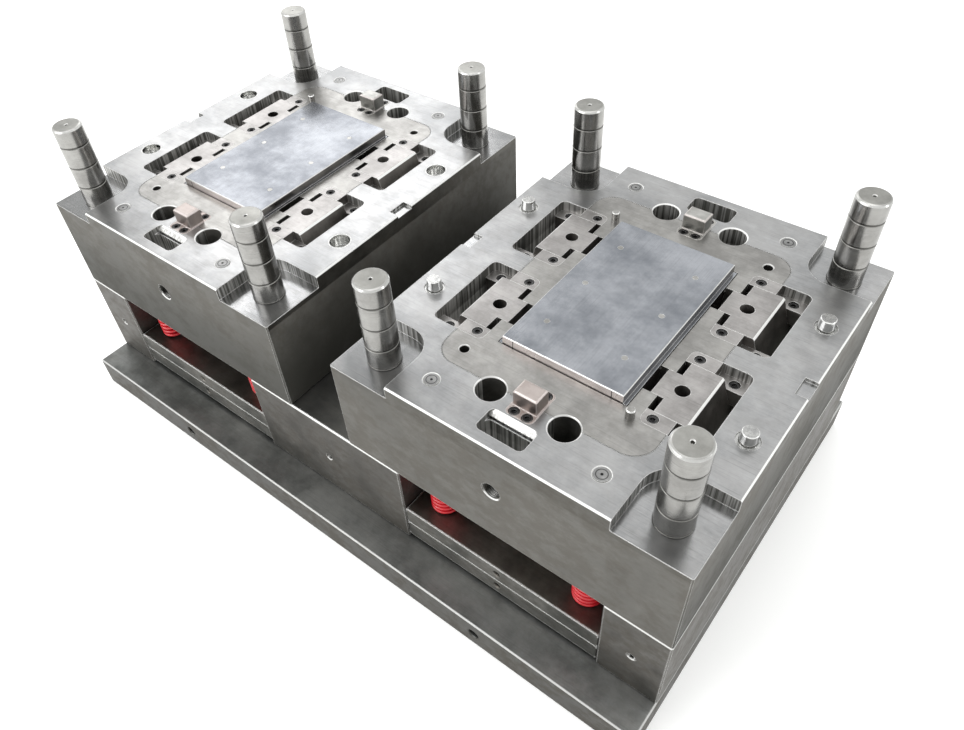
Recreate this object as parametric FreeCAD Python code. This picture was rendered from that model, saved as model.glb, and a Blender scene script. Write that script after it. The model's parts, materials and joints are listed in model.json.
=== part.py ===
import FreeCAD, Part
import math
import os

# Moving half of a two-station injection mould: one clamp plate carries two core plates
# on three spacer blocks, with an ejector set under each core plate.
# Millimetres, +Z up. The origin is the bottom centre of the clamp plate.
# X runs along the two stations, Y runs from the front to the back.

os.makedirs("parts", exist_ok=True)
Vec = FreeCAD.Vector
SIGNS = (-1, 1)
CORNERS = [(sx, sy) for sy in SIGNS for sx in SIGNS]

# ---------------------------------------------------------------- driving dimensions
# plate stack
STATION_PITCH = 494.0
PLATE_W = 400.0
PLATE_D = 450.0
PLATE_H = 140.0
CLAMP_H = 45.0
CLAMP_LEDGE = 44.0
SPACER_H = 125.0
SPACER_W = 72.0
EDGE_BREAK = 1.5

# ejector set
REST_H = 7.0
REST_R = 12.5
REST_INSET = 23.0
REST_Y = 60.0
EJECT_BASE_H = 25.0
RETAINER_H = 25.0
EJECT_STROKE = 25.0
EJECT_SIDE_GAP = 1.0
EJECT_END_INSET = 1.5

# guide pillars and the corner rebates they stand in
PILLAR_R = 17.5
PILLAR_INSET_X = 39.0
PILLAR_INSET_Y = 40.0
PILLAR_RISE = 89.0
PILLAR_HEAD_EXTRA_R = 3.0
PILLAR_HEAD_H = 8.0
PILLAR_CHAMFER = 2.5
PILLAR_UNDERCUT_H = 2.0
PILLAR_UNDERCUT_DEPTH = 0.5
CORNER_W = 76.0
CORNER_D = 78.0
CORNER_DEPTH = 15.0
CORNER_R = 30.0

# return pins, their springs and the stops of the ejector set
RETURN_R = 8.0
RETURN_INSET_X = 33.0
RETURN_INSET_Y = 35.0
RETURN_MOUTH = 1.0
PIN_HEAD_EXTRA_R = 3.0
PIN_HEAD_H = 6.0
SPRING_R = 17.5
SPRING_WALL = 7.5
SPRING_POCKET_H = 34.0
STOP_R = 15.0
STOP_TO_RETURN = 50.0
STOP_INSET_Y = 75.0

# guides and supports between the clamp plate and the core plate
GUIDE_R = 10.0
GUIDE_INSET = 27.0
GUIDE_Y = 118.0
GUIDE_SEAT = 18.0
BUSH_WALL = 5.0
BUSH_RISE = 4.0
SUPPORT_R = 20.0
SUPPORT_Y = 112.0
KNOCKOUT_R = 20.0

# core insert, core block and ejector pins
INSERT_MARGIN_X = 82.5
INSERT_MARGIN_Y = 63.0
INSERT_H = 60.0
INSERT_R = 25.0
INSERT_HOLE_R = 5.0
INSERT_HOLE_MOUTH = 1.0
INSERT_HOLE_INSET_X = 23.5
INSERT_HOLE_INSET_Y = 22.5
INSERT_HOLE_DEPTH = 30.0
BLOCK_MARGIN_X = 49.5
BLOCK_MARGIN_Y = 50.0
BLOCK_RISE = 10.0
BLOCK_CHAMFER = 0.8
BLOCK_SEAT = 35.0
BLOCK_FLANGE = 3.8
BLOCK_GAP = 1.0
BLOCK_GAP_DEPTH = 5.0
EJECTOR_R = 3.0
EJECTOR_INSET_X = 24.0
EJECTOR_INSET_Y = 42.0
LOCATOR_R = 4.5
LOCATOR_GAP_X = 13.0
LOCATOR_GAP_Y = 10.0
LOCATOR_RISE = 11.0
LOCATOR_SEAT = 20.0
LOCATOR_CHAMFER = 1.0

# slides, their gibs and wear plates
SLIDE_Y = 67.5
SLIDE_W = 72.4
SLIDE_LENGTH = 33.8
NOSE_GAP = 13.0
NOSE_LENGTH = 13.7
NOSE_W = 35.0
SLIDE_TRAVEL = 6.0
SLIDE_H = 42.0
FLANGE_W = 5.0
FLANGE_H = 12.0
HEEL_ANGLE = 17.0
HEEL_CHAMFER = 2.0
ANGLE_PIN_R = 7.2
ANGLE_PIN_INSET = 9.3
ANGLE_PIN_TILT = 14.0
WEAR_H = 8.0
GIB_W = 17.4
GIB_STEP_INSET = 32.5
GIB_STEP_H = 12.0
GIB_R = 7.0
HEEL_ROOM = 22.0
GIB_SCREW_INSET = 10.5
GIB_SCREW_OUTER_INSET = 14.5

# wedge blocks at the ends of the core and the pockets behind them
WEDGE_W = 26.0
WEDGE_D = 19.0
WEDGE_TO_POCKET = 37.5
WEDGE_RISE = 18.0
WEDGE_FLANGE_W = 30.0
WEDGE_FLANGE_D = 43.0
WEDGE_FLANGE_H = 25.0
WEDGE_FLANGE_R = 5.0
WEDGE_SCREW_X = 7.2
WEDGE_SCREW_SPREAD = 15.8
END_POCKET_W = 52.0
END_POCKET_D = 28.0
END_POCKET_INSET = 27.0
END_POCKET_DEPTH = 35.0
END_POCKET_R = 6.0
END_POCKET_LEAD = 8.0
RELIEF_R = 15.0
RELIEF_X = 41.0
RELIEF_TO_WEDGE = 6.5
RELIEF_DEPTH = 95.0
RELIEF_CHAMFER = 1.2

# interlocks, edge slots and lifting holes
LOCK_INSET = 23.5
LOCK_Y = 86.0
LOCK_SEAT_R = 13.2
LOCK_FOOT_R = 11.2
LOCK_SOCKET_WALL = 1.2
LOCK_SOCKET_DEPTH = 13.0
LOCK_SEAT_H = 16.0
LOCK_PEG_R = 9.0
LOCK_PEG_RISE = 12.0
LOCK_TAPER = 6.0
LOCK_TRIM = 1.0
LOCK_CHAMFER = 0.6
PRY_W = 24.0
PRY_D = 13.0
PRY_DEPTH = 4.0
LIFT_R = 10.0
LIFT_HEIGHT = 75.0
LIFT_DEPTH = 45.0
LIFT_CHAMFER = 1.0
EDGE_HOLE_R = 7.0
EDGE_HOLE_DEPTH = 28.0
EDGE_HOLE_CHAMFER = 1.0
SPACER_HOLE_R = 4.25
SPACER_HOLE_DEPTH = 18.0
SPACER_HOLE_CHAMFER = 0.8

# cap screws: thread radius; head radius and height follow from it (small: the M6 seats only)
CLAMP_SCREW_R = 8.0
CLAMP_SCREW_Y = 105.0
CLAMP_SCREW_GRIP = 28.0
PLATE_SCREW_R = 5.0
PLATE_SCREW_INSET_X = 15.0
PLATE_SCREW_INSET_Y = 23.5
PLATE_SCREW_BITE = 16.0
INSERT_SCREW_R = 6.0
INSERT_SCREW_X = 70.0
INSERT_SCREW_INSET = 23.0
INSERT_SCREW_BITE = 18.0
SUPPORT_SCREW_R = 6.0
SMALL_SCREW_R = 3.0
HEAD_RATIO = 1.6
SOCKET_RATIO = 0.92
SMALL_SCREW_SINK = 0.4

# clearances
RUN_FIT = 0.05
SHANK_GAP = 0.5
HEAD_GAP = 0.75
POCKET_GAP = 0.5
PILLAR_PASS_GAP = 2.0

# ---------------------------------------------------------------- levels and lines
PLATE_Z = CLAMP_H + SPACER_H
FACE_Z = PLATE_Z + PLATE_H
EJECT_Z = CLAMP_H + REST_H
RETAINER_Z = EJECT_Z + EJECT_BASE_H
RETAINER_TOP = RETAINER_Z + RETAINER_H
INSERT_Z = FACE_Z - INSERT_H
BLOCK_Z = FACE_Z - BLOCK_SEAT
BLOCK_TOP = FACE_Z + BLOCK_RISE
SLIDE_Z = FACE_Z - SLIDE_H
WEAR_Z = SLIDE_Z - WEAR_H
STATION_X = STATION_PITCH / 2
OVERALL_W = STATION_PITCH + PLATE_W
EJECT_W = PLATE_W - 2 * SPACER_W - 2 * EJECT_SIDE_GAP
EJECT_D = PLATE_D - 2 * EJECT_END_INSET
INSERT_W = PLATE_W - 2 * INSERT_MARGIN_X
INSERT_D = PLATE_D - 2 * INSERT_MARGIN_Y
BLOCK_W = INSERT_W - 2 * BLOCK_MARGIN_X
BLOCK_D = INSERT_D - 2 * BLOCK_MARGIN_Y
BLOCK_FOOT_W = BLOCK_W + 2 * BLOCK_FLANGE
PILLAR_X = PLATE_W / 2 - PILLAR_INSET_X
PILLAR_Y = PLATE_D / 2 - PILLAR_INSET_Y
LOCK_X = PLATE_W / 2 - LOCK_INSET
RETURN_X = EJECT_W / 2 - RETURN_INSET_X
RETURN_Y = PLATE_D / 2 - RETURN_INSET_Y
STOP_X = RETURN_X - STOP_TO_RETURN
STOP_Y = PLATE_D / 2 - STOP_INSET_Y
GUIDE_X = EJECT_W / 2 - GUIDE_INSET
REST_X = EJECT_W / 2 - REST_INSET
END_POCKET_Y = PLATE_D / 2 - END_POCKET_INSET
WEDGE_Y = END_POCKET_Y - WEDGE_TO_POCKET
RELIEF_Y = WEDGE_Y + RELIEF_TO_WEDGE
INSERT_HOLE_X = INSERT_W / 2 - INSERT_HOLE_INSET_X
INSERT_HOLE_Y = INSERT_D / 2 - INSERT_HOLE_INSET_Y
LOCATOR_X = BLOCK_W / 2 + LOCATOR_GAP_X
LOCATOR_Y = BLOCK_D / 2 + LOCATOR_GAP_Y
NOSE_X = BLOCK_W / 2 + NOSE_GAP
SLIDE_FRONT_X = NOSE_X + NOSE_LENGTH
SLIDE_REAR_X = SLIDE_FRONT_X + SLIDE_LENGTH
SLIDE_POCKET_X = SLIDE_REAR_X + HEEL_ROOM
ANGLE_PIN_X = SLIDE_FRONT_X + ANGLE_PIN_INSET
POCKET_FRONT_X = SLIDE_FRONT_X - SLIDE_TRAVEL - POCKET_GAP
GIB_INNER = SLIDE_W / 2 + RUN_FIT
GIB_OUTER = GIB_INNER + GIB_W
GIB_STEP_X = SLIDE_POCKET_X - GIB_STEP_INSET
GIB_SCREW_X = POCKET_FRONT_X + GIB_SCREW_INSET
GIB_SCREW_OUTER_X = SLIDE_POCKET_X - GIB_SCREW_OUTER_INSET
EJECTOR_X = BLOCK_W / 2 - EJECTOR_INSET_X
EJECTOR_PITCH_Y = BLOCK_D / 2 - EJECTOR_INSET_Y
EJECTOR_SPOTS = [(sx * EJECTOR_X, row * EJECTOR_PITCH_Y) for sx in SIGNS for row in (-1, 0, 1)]


# ---------------------------------------------------------------- shape helpers
def block(x0, x1, y0, y1, z0, z1):
    """Upright box between two opposite corners given in any order."""
    low = Vec(min(x0, x1), min(y0, y1), min(z0, z1))
    return Part.makeBox(abs(x1 - x0), abs(y1 - y0), abs(z1 - z0), low)


def centred_block(width, depth, z0, z1, x=0.0, y=0.0):
    """Upright box centred on (x, y)."""
    return block(x - width / 2, x + width / 2, y - depth / 2, y + depth / 2, z0, z1)


def rod(radius, z0, z1, x=0.0, y=0.0):
    """Upright cylinder."""
    return Part.makeCylinder(radius, z1 - z0, Vec(x, y, z0))


def upright_edges(shape, wanted):
    """Vertical edges of a shape whose (x, y) place passes the given test."""
    found = []
    for edge in shape.Edges:
        first = edge.Vertexes[0].Point
        last = edge.Vertexes[-1].Point
        level = math.hypot(first.x - last.x, first.y - last.y)
        if level < 1e-6 and abs(first.z - last.z) > 1e-6 and wanted(first.x, first.y):
            found.append(edge)
    return found


def rounded_block(width, depth, z0, z1, radius, x=0.0, y=0.0):
    """Upright box with its four vertical edges rounded."""
    body = centred_block(width, depth, z0, z1, x, y)
    return body.makeFillet(radius, upright_edges(body, lambda px, py: True))


def broken_block(width, depth, z0, z1, x=0.0, y=0.0):
    """Machined plate: a box with every edge chamfered."""
    body = centred_block(width, depth, z0, z1, x, y)
    return body.makeChamfer(EDGE_BREAK, body.Edges)


def countersunk_rod(radius, z0, mouth_z, chamfer, x=0.0, y=0.0):
    """Cutter for a hole that opens upwards through a chamfered mouth."""
    cone = Part.makeCone(radius, radius + chamfer, chamfer, Vec(x, y, mouth_z - chamfer))
    return rod(radius, z0, mouth_z, x, y).fuse(cone)


def end_hole(radius, depth, chamfer, x, y_face, z, inward):
    """Cutter for a level hole that starts at a face looking along Y; inward is +1 or -1."""
    start = Vec(x, y_face, z)
    along = Vec(0, inward, 0)
    hole = Part.makeCylinder(radius, depth, start, along)
    cone = Part.makeCone(radius + chamfer, radius, chamfer, start, along)
    return hole.fuse(cone)


def cut_all(body, cutters):
    """Body less every cutter."""
    return body.cut(Part.makeCompound(cutters))


def at_station(side, shapes):
    """Copies of station pieces moved to the left (-1) or right (+1) station."""
    moved = []
    for shape in shapes:
        copy = shape.copy()
        copy.translate(Vec(side * STATION_X, 0, 0))
        moved.append(copy)
    return moved


def turned(shape, sx, sy):
    """Copy of a piece modelled at +X +Y, mirrored into another corner of the station."""
    copy = shape.copy()
    if sx < 0:
        copy = copy.mirror(Vec(0, 0, 0), Vec(1, 0, 0))
    if sy < 0:
        copy = copy.mirror(Vec(0, 0, 0), Vec(0, 1, 0))
    return copy


def four_corners(shape):
    """A piece modelled at +X +Y repeated in all four corners of the station."""
    return [turned(shape, sx, sy) for sx, sy in CORNERS]


def save(node, shapes):
    """Write one named node; its separate solids stay separate."""
    solids = [solid for shape in shapes for solid in shape.Solids]
    Part.makeCompound(solids).exportStep("parts/" + node + ".step")
    print(node, len(solids))


# ---------------------------------------------------------------- cap screws
def head_radius(thread_r):
    """Head radius of a socket cap screw."""
    return thread_r * HEAD_RATIO


def head_height(thread_r):
    """Head height of a socket cap screw, equal to its thread diameter."""
    return thread_r * 2


def hexagon(across_r, z0, z1, x, y):
    """Upright hexagonal prism given by its corner radius."""
    turns = [math.radians(60 * k) for k in range(7)]
    corners = [Vec(x + across_r * math.cos(a), y + across_r * math.sin(a), z0) for a in turns]
    return Part.Face(Part.makePolygon(corners)).extrude(Vec(0, 0, z1 - z0))


def cap_screw(thread_r, seat_z, tip_z, x, y):
    """Socket cap screw with its head on seat_z and its tip at tip_z, pointing up or down."""
    way = 1 if seat_z > tip_z else -1
    top_z = seat_z + way * head_height(thread_r)
    socket_z = seat_z + way * thread_r
    head = rod(head_radius(thread_r), min(seat_z, top_z), max(seat_z, top_z), x, y)
    shank = rod(thread_r, min(seat_z, tip_z), max(seat_z, tip_z), x, y)
    socket = hexagon(thread_r * SOCKET_RATIO, socket_z, top_z, x, y)
    return head.fuse(shank).cut(socket)


def screw_seat(thread_r, seat_z, mouth_z, x, y):
    """Counterbore cutter from the head's seat to the surface it is let into."""
    radius = head_radius(thread_r) + HEAD_GAP
    return rod(radius, min(seat_z, mouth_z), max(seat_z, mouth_z), x, y)


# ---------------------------------------------------------------- screw places
def mirrored(x, y):
    """The four places at plus and minus x and y."""
    return [(sx * x, sy * y) for sx, sy in CORNERS]


SPACER_SIDE_X = OVERALL_W / 2 - SPACER_W / 2
SPACER_INNER_X = STATION_X - PLATE_W / 2 + SPACER_W / 2
CLAMP_SPOTS = mirrored(SPACER_SIDE_X, CLAMP_SCREW_Y) + mirrored(SPACER_INNER_X, CLAMP_SCREW_Y)
CLAMP_SEAT_Z = head_height(CLAMP_SCREW_R) + HEAD_GAP
PLATE_SCREW_SEAT_Z = EJECT_Z + head_height(PLATE_SCREW_R) + HEAD_GAP
INSERT_SEAT_Z = PLATE_Z + PLATE_H / 2 - INSERT_SCREW_BITE
INSERT_SCREW_Y = INSERT_D / 2 - INSERT_SCREW_INSET
PLATE_SCREW_X = EJECT_W / 2 - PLATE_SCREW_INSET_X
PLATE_SCREW_Y = EJECT_D / 2 - PLATE_SCREW_INSET_Y
PLATE_SCREW_TIP_Z = RETAINER_Z + PLATE_SCREW_BITE
SUPPORT_SEAT_Z = head_height(SUPPORT_SCREW_R) + HEAD_GAP
SMALL_SEAT_Z = FACE_Z - SMALL_SCREW_SINK - head_height(SMALL_SCREW_R)
LEDGE_SEAT_Z = SMALL_SEAT_Z - GIB_STEP_H
WEDGE_SPOTS = [(sx * WEDGE_SCREW_X, WEDGE_Y + sy * WEDGE_SCREW_SPREAD) for sx, sy in CORNERS]


# ---------------------------------------------------------------- clamp plate and spacers
def clamp_plate():
    """Bottom plate with the clamping ledge in front and behind."""
    depth = PLATE_D + 2 * CLAMP_LEDGE
    cutters = []
    for x, y in CLAMP_SPOTS:
        cutters.append(screw_seat(CLAMP_SCREW_R, CLAMP_SEAT_Z, 0, x, y))
        cutters.append(rod(CLAMP_SCREW_R + SHANK_GAP, 0, CLAMP_H, x, y))
    for side in SIGNS:
        x = side * STATION_X
        cutters.append(rod(KNOCKOUT_R, 0, CLAMP_H, x, 0))
        for sy in SIGNS:
            cutters.append(end_hole(EDGE_HOLE_R, EDGE_HOLE_DEPTH, EDGE_HOLE_CHAMFER, x,
                                    sy * depth / 2, CLAMP_H / 2, -sy))
            cutters.append(screw_seat(SUPPORT_SCREW_R, SUPPORT_SEAT_Z, 0, x, sy * SUPPORT_Y))
            cutters.append(rod(SUPPORT_SCREW_R + SHANK_GAP, 0, CLAMP_H, x, sy * SUPPORT_Y))
            for sx in SIGNS:
                cutters.append(rod(GUIDE_R, CLAMP_H - GUIDE_SEAT, CLAMP_H,
                                   x + sx * GUIDE_X, sy * GUIDE_Y))
    plate = cut_all(broken_block(OVERALL_W, depth, 0, CLAMP_H), cutters)
    return with_ledge_lines(plate)


def with_ledge_lines(plate):
    """Clamp plate with its top face parted where each clamping ledge begins."""
    lines = []
    for sy in SIGNS:
        y = sy * PLATE_D / 2
        lines.append(Part.makeLine(Vec(-OVERALL_W / 2, y, CLAMP_H), Vec(OVERALL_W / 2, y, CLAMP_H)))
    parted = plate.generalFuse(lines)[0]
    return parted.Solids[0]


def spacer(width, x):
    """Spacer block with its clearance holes and a tapped hole in each end."""
    cutters = []
    for px, py in CLAMP_SPOTS:
        if abs(px - x) < width / 2:
            cutters.append(rod(CLAMP_SCREW_R + SHANK_GAP, CLAMP_H, PLATE_Z, px, py))
    for sy in SIGNS:
        cutters.append(end_hole(SPACER_HOLE_R, SPACER_HOLE_DEPTH, SPACER_HOLE_CHAMFER, x,
                                sy * PLATE_D / 2, CLAMP_H + SPACER_H / 2, -sy))
    return cut_all(broken_block(width, PLATE_D, CLAMP_H, PLATE_Z, x, 0), cutters)


# ---------------------------------------------------------------- core plate
def insert_seat():
    """Cutter for the pocket of the core insert."""
    return rounded_block(INSERT_W, INSERT_D, INSERT_Z, FACE_Z, INSERT_R)


def slide_pocket():
    """Cutter for one slide with its gibs, at +X +Y: wide pocket plus the way to the core block."""
    length = SLIDE_POCKET_X - POCKET_FRONT_X
    wide = rounded_block(length, 2 * GIB_OUTER, WEAR_Z, FACE_Z, GIB_R,
                         POCKET_FRONT_X + length / 2, SLIDE_Y)
    half = NOSE_W / 2 + RUN_FIT
    nose = block(BLOCK_FOOT_W / 2, POCKET_FRONT_X + GIB_R, SLIDE_Y - half, SLIDE_Y + half,
                 SLIDE_Z, FACE_Z)
    return wide.fuse(nose)


def wedge_seat():
    """Cutter for the flange of one wedge block, at +Y."""
    return rounded_block(WEDGE_FLANGE_W, WEDGE_FLANGE_D, FACE_Z - WEDGE_FLANGE_H, FACE_Z,
                         WEDGE_FLANGE_R, 0, WEDGE_Y)


def end_pocket():
    """Cutter for the open pocket behind a wedge block, at +Y, with a 45 degree lead-in slope."""
    lead = END_POCKET_LEAD
    inner_y = END_POCKET_Y - END_POCKET_D / 2
    deep = rounded_block(END_POCKET_W, END_POCKET_D - lead, FACE_Z - END_POCKET_DEPTH, FACE_Z,
                         END_POCKET_R, 0, END_POCKET_Y + lead / 2)
    mouth = rounded_block(END_POCKET_W, END_POCKET_D, FACE_Z - lead, FACE_Z,
                          END_POCKET_R, 0, END_POCKET_Y)
    below = centred_block(END_POCKET_W, 2 * lead, FACE_Z - 2 * lead, FACE_Z, 0, inner_y)
    below.rotate(Vec(0, inner_y, FACE_Z), Vec(1, 0, 0), -45)
    return deep.fuse(mouth.cut(below))


def relief_bore():
    """Cutter for a chamfered relief bore beside a wedge block, at +X +Y."""
    return countersunk_rod(RELIEF_R, FACE_Z - RELIEF_DEPTH, FACE_Z, RELIEF_CHAMFER,
                           RELIEF_X, RELIEF_Y)


def corner_rebate():
    """Cutter for the rebate round a guide pillar: open on two sides, inner corner round."""
    over = EDGE_BREAK
    body = block(PLATE_W / 2 - CORNER_W, PLATE_W / 2 + over, PLATE_D / 2 - CORNER_D,
                 PLATE_D / 2 + over, FACE_Z - CORNER_DEPTH, FACE_Z + over)
    inner = upright_edges(body, lambda px, py: px < PLATE_W / 2 and py < PLATE_D / 2)
    return body.makeFillet(CORNER_R, inner)


def core_plate(lock_r):
    """Core plate of one station with all its pockets, bores, screw holes and interlock seats."""
    head_r = PILLAR_R + PILLAR_HEAD_EXTRA_R
    cutters = [insert_seat()]
    quarter = [
        corner_rebate(),
        slide_pocket(),
        relief_bore(),
        rod(PILLAR_R, PLATE_Z, FACE_Z, PILLAR_X, PILLAR_Y),
        rod(head_r + SHANK_GAP, PLATE_Z, PLATE_Z + PILLAR_HEAD_H, PILLAR_X, PILLAR_Y),
        countersunk_rod(RETURN_R + RUN_FIT, PLATE_Z, FACE_Z, RETURN_MOUTH, RETURN_X, RETURN_Y),
        rod(SPRING_R + HEAD_GAP, PLATE_Z, PLATE_Z + SPRING_POCKET_H, RETURN_X, RETURN_Y),
        rod(lock_r, FACE_Z - LOCK_SEAT_H, FACE_Z, LOCK_X, LOCK_Y),
        rod(GUIDE_R, PLATE_Z, PLATE_Z + GUIDE_SEAT, GUIDE_X, GUIDE_Y),
        screw_seat(INSERT_SCREW_R, INSERT_SEAT_Z, PLATE_Z, INSERT_SCREW_X, INSERT_SCREW_Y),
        rod(INSERT_SCREW_R + SHANK_GAP, PLATE_Z, INSERT_Z, INSERT_SCREW_X, INSERT_SCREW_Y),
    ]
    for cutter in quarter:
        cutters += four_corners(cutter)
    for sy in SIGNS:
        cutters.append(turned(wedge_seat(), 1, sy))
        cutters.append(turned(end_pocket(), 1, sy))
        cutters.append(end_hole(LIFT_R, LIFT_DEPTH, LIFT_CHAMFER, 0, sy * PLATE_D / 2,
                                PLATE_Z + LIFT_HEIGHT, -sy))
        cutters.append(rod(SUPPORT_SCREW_R, PLATE_Z, PLATE_Z + CLAMP_SCREW_GRIP,
                           0, sy * SUPPORT_Y))
    for sx in SIGNS:
        edge_x = sx * PLATE_W / 2
        cutters.append(block(edge_x - sx * PRY_D, edge_x + sx * PRY_D, -PRY_W / 2, PRY_W / 2,
                             FACE_Z - PRY_DEPTH, FACE_Z + PRY_DEPTH))
        for sy in SIGNS:
            cutters.append(rod(CLAMP_SCREW_R, PLATE_Z, PLATE_Z + CLAMP_SCREW_GRIP,
                               sx * (PLATE_W - SPACER_W) / 2, sy * CLAMP_SCREW_Y))
    for x, y in EJECTOR_SPOTS:
        cutters.append(rod(EJECTOR_R + SHANK_GAP, PLATE_Z, INSERT_Z, x, y))
    return cut_all(broken_block(PLATE_W, PLATE_D, PLATE_Z, FACE_Z), cutters)


# ---------------------------------------------------------------- core insert and block
def core_insert():
    """Insert let into the core plate, with the ways for slides, wedges and core block."""
    cutters = four_corners(slide_pocket()) + four_corners(relief_bore())
    cutters += [turned(wedge_seat(), 1, sy) for sy in SIGNS]
    cutters.append(centred_block(BLOCK_FOOT_W, BLOCK_D, BLOCK_Z, FACE_Z))
    cutters.append(centred_block(BLOCK_FOOT_W + 2 * BLOCK_GAP, BLOCK_D + 2 * BLOCK_GAP,
                                 FACE_Z - BLOCK_GAP_DEPTH, FACE_Z))
    for x, y in EJECTOR_SPOTS:
        cutters.append(rod(EJECTOR_R + SHANK_GAP, INSERT_Z, BLOCK_Z, x, y))
    for x, y in mirrored(INSERT_SCREW_X, INSERT_SCREW_Y):
        cutters.append(rod(INSERT_SCREW_R, INSERT_Z, INSERT_Z + INSERT_SCREW_BITE, x, y))
    for s in SIGNS:
        cutters.append(countersunk_rod(INSERT_HOLE_R, FACE_Z - INSERT_HOLE_DEPTH, FACE_Z,
                                       INSERT_HOLE_MOUTH, s * INSERT_HOLE_X, s * INSERT_HOLE_Y))
        cutters.append(rod(LOCATOR_R, FACE_Z - LOCATOR_SEAT, FACE_Z,
                           s * LOCATOR_X, -s * LOCATOR_Y))
    body = rounded_block(INSERT_W, INSERT_D, INSERT_Z, FACE_Z, INSERT_R)
    return cut_all(body, cutters)


def core_block():
    """Raised core block on a wider foot flush with the insert, with its ejector pin holes."""
    body = centred_block(BLOCK_W, BLOCK_D, BLOCK_Z, BLOCK_TOP)
    rim = [edge for edge in body.Edges if edge.Vertexes[0].Z > FACE_Z and edge.Vertexes[-1].Z > FACE_Z]
    body = body.makeChamfer(BLOCK_CHAMFER, rim)
    body = body.fuse(centred_block(BLOCK_FOOT_W, BLOCK_D, BLOCK_Z, FACE_Z))
    cutters = [rod(EJECTOR_R + RUN_FIT, BLOCK_Z, BLOCK_TOP, x, y) for x, y in EJECTOR_SPOTS]
    return cut_all(body, cutters)


def locators():
    """Two round locating pins beside opposite corners of the core block."""
    pins = []
    for s in SIGNS:
        pin = rod(LOCATOR_R, FACE_Z - LOCATOR_SEAT, FACE_Z + LOCATOR_RISE,
                  s * LOCATOR_X, -s * LOCATOR_Y)
        top = [edge for edge in pin.Edges if edge.Vertexes[0].Z > FACE_Z and edge.Closed]
        pins.append(pin.makeChamfer(LOCATOR_CHAMFER, top))
    return pins


# ---------------------------------------------------------------- slides
def slide():
    """T-shaped slide at +X +Y, drawn back: nose, body, foot flanges and sloped heel."""
    run = SLIDE_H * math.tan(math.radians(HEEL_ANGLE))
    side = Part.makePolygon([
        Vec(SLIDE_FRONT_X, 0, SLIDE_Z),
        Vec(SLIDE_REAR_X + run, 0, SLIDE_Z),
        Vec(SLIDE_REAR_X, 0, FACE_Z - HEEL_CHAMFER),
        Vec(SLIDE_REAR_X - HEEL_CHAMFER, 0, FACE_Z),
        Vec(SLIDE_FRONT_X, 0, FACE_Z),
        Vec(SLIDE_FRONT_X, 0, SLIDE_Z),
    ])
    profile = Part.Face(side)
    profile.translate(Vec(0, SLIDE_Y - SLIDE_W / 2, 0))
    body = profile.extrude(Vec(0, SLIDE_W, 0))
    foot_w = SLIDE_W + 2 * FLANGE_W
    foot = profile.copy()
    foot.translate(Vec(0, -FLANGE_W, 0))
    foot = foot.extrude(Vec(0, foot_w, 0))
    foot = foot.common(block(SLIDE_FRONT_X, SLIDE_REAR_X + run, SLIDE_Y - foot_w / 2,
                             SLIDE_Y + foot_w / 2, SLIDE_Z, SLIDE_Z + FLANGE_H))
    nose = block(NOSE_X, SLIDE_FRONT_X, SLIDE_Y - NOSE_W / 2, SLIDE_Y + NOSE_W / 2,
                 SLIDE_Z, FACE_Z)
    whole = body.fuse([foot, nose]).removeSplitter()
    lean = math.radians(ANGLE_PIN_TILT)
    down = Vec(math.sin(lean), 0, -math.cos(lean))
    mouth = Vec(ANGLE_PIN_X, SLIDE_Y, FACE_Z)
    reach = SLIDE_H / math.cos(lean)
    hole = Part.makeCylinder(ANGLE_PIN_R, 2 * reach, mouth - down * (reach / 2), down)
    return whole.cut(hole)


def gib():
    """Inner gib of the slide at +X +Y: guide bar with a flush step and a lower ledge."""
    near = SLIDE_Y - GIB_INNER
    bar = block(POCKET_FRONT_X, SLIDE_POCKET_X, near - GIB_W, near, WEAR_Z, FACE_Z)
    outer = upright_edges(bar, lambda px, py: py < near - GIB_W / 2)
    bar = bar.makeFillet(GIB_R, outer)
    ledge = block(GIB_STEP_X, SLIDE_POCKET_X, near - GIB_W, near, FACE_Z - GIB_STEP_H, FACE_Z)
    groove = block(POCKET_FRONT_X, SLIDE_POCKET_X, near - FLANGE_W - RUN_FIT, near,
                   SLIDE_Z, SLIDE_Z + FLANGE_H + RUN_FIT)
    cutters = [ledge, groove]
    middle = near - GIB_W / 2
    cutters.append(screw_seat(SMALL_SCREW_R, SMALL_SEAT_Z, FACE_Z, GIB_SCREW_X, middle))
    cutters.append(screw_seat(SMALL_SCREW_R, LEDGE_SEAT_Z, FACE_Z, GIB_SCREW_OUTER_X, middle))
    return cut_all(bar, cutters)


def gib_pair():
    """Both gibs of the slide at +X +Y, mirrored about the slide's centre line."""
    inner = gib()
    return [inner, inner.mirror(Vec(0, SLIDE_Y, 0), Vec(0, 1, 0))]


def wear_plate():
    """Hard strip the slide at +X +Y runs on, between its gibs."""
    return block(POCKET_FRONT_X, SLIDE_POCKET_X, SLIDE_Y - GIB_INNER, SLIDE_Y + GIB_INNER,
                 WEAR_Z, SLIDE_Z)


# ---------------------------------------------------------------- wedge blocks
def wedge_block():
    """Raised block on a flush flange at +Y, held by four screws."""
    flange = wedge_seat()
    raised = centred_block(WEDGE_W, WEDGE_D, FACE_Z - WEDGE_FLANGE_H, FACE_Z + WEDGE_RISE,
                           0, WEDGE_Y)
    top = [edge for edge in raised.Edges
           if edge.Vertexes[0].Z > FACE_Z and edge.Vertexes[-1].Z > FACE_Z]
    raised = raised.makeChamfer(EDGE_BREAK, top)
    cutters = []
    for x, y in WEDGE_SPOTS:
        cutters.append(screw_seat(SMALL_SCREW_R, SMALL_SEAT_Z, FACE_Z, x, y))
    return cut_all(flange.fuse(raised), cutters)


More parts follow.
